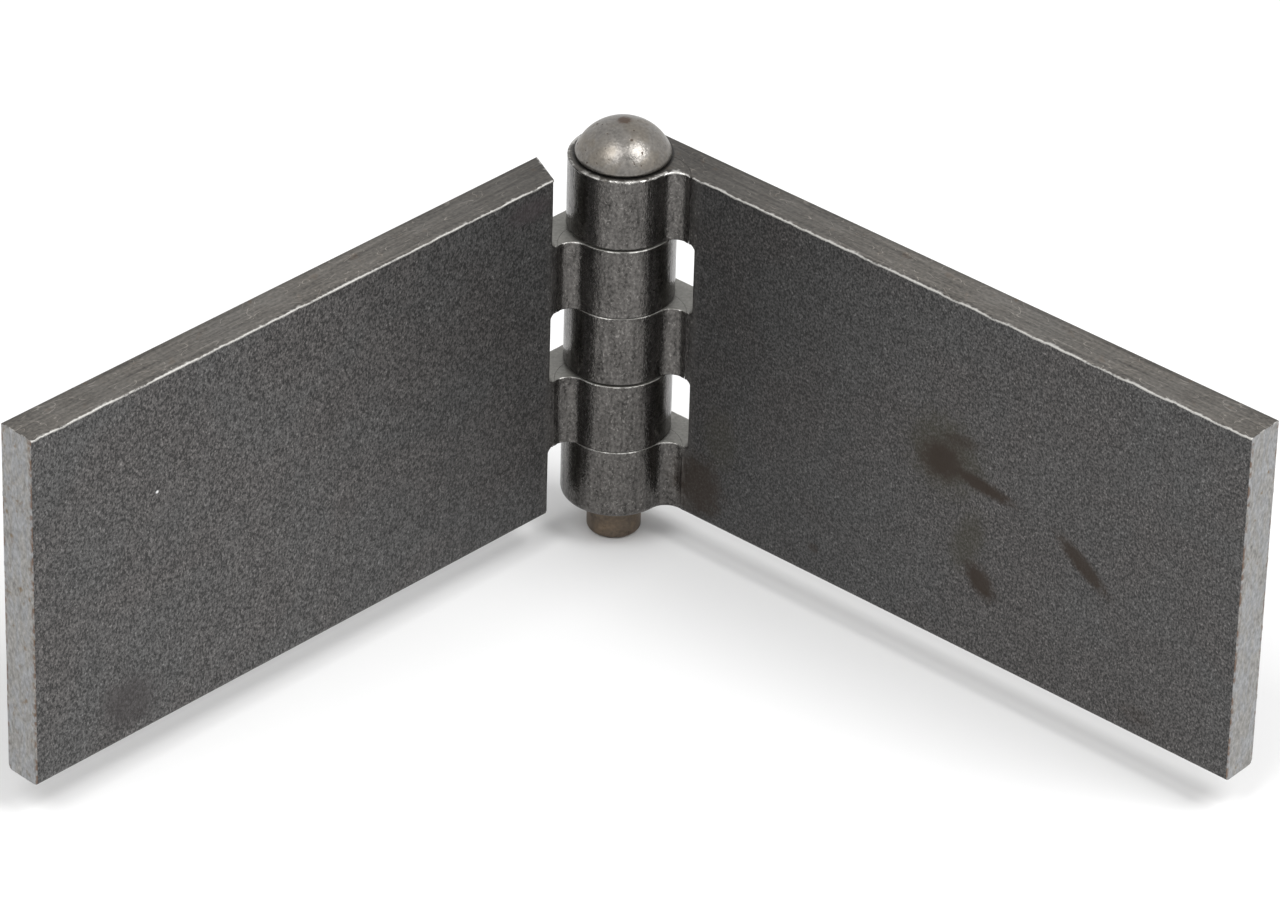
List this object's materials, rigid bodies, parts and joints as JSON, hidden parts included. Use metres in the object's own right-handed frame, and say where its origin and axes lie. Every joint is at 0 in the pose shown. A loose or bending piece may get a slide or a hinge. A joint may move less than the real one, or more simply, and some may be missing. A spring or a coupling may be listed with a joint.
{
  "type": "weld-on butt hinge",
  "caption": "Weld-on steel butt hinge: two plain flat leaves with rolled, interleaved knuckles on a loose round-head pin.",
  "frame": {"origin": "middle of the flat back, the weld face, of the fixed leaf, which carries the top, middle and bottom knuckles: half-way from the pin's axis to the leaf's outer end", "axes": "+X along the fixed leaf away from the barrel, +Y out of its back, +Z along the pin towards its head"},
  "size_m": [0.1109, 0.1031, 0.0602],
  "materials": {
    "leaf_steel": "dark mill scale, oiled, with sheared edges",
    "pin_steel": "bare steel, lightly tarnished"
  },
  "bodies": {
    "fixed_leaf": {"fixed_leaf": "leaf_steel"},
    "swing_leaf": {"swing_leaf": "leaf_steel"},
    "hinge_pin": {"hinge_pin": "pin_steel"}
  },
  "joints": [
    {"name": "leaf_swing", "type": "hinge", "parent": "fixed_leaf", "child": "swing_leaf", "pos_m": [-0.04825, -0.00698, 0], "axis": [0, 0, -1], "range_deg": [-94.4, 175.6]},
    {"name": "pin_lift", "type": "slide", "parent": "fixed_leaf", "child": "hinge_pin", "axis": [0, 0, 1], "range_m": [0, 0.056]}
  ]
}
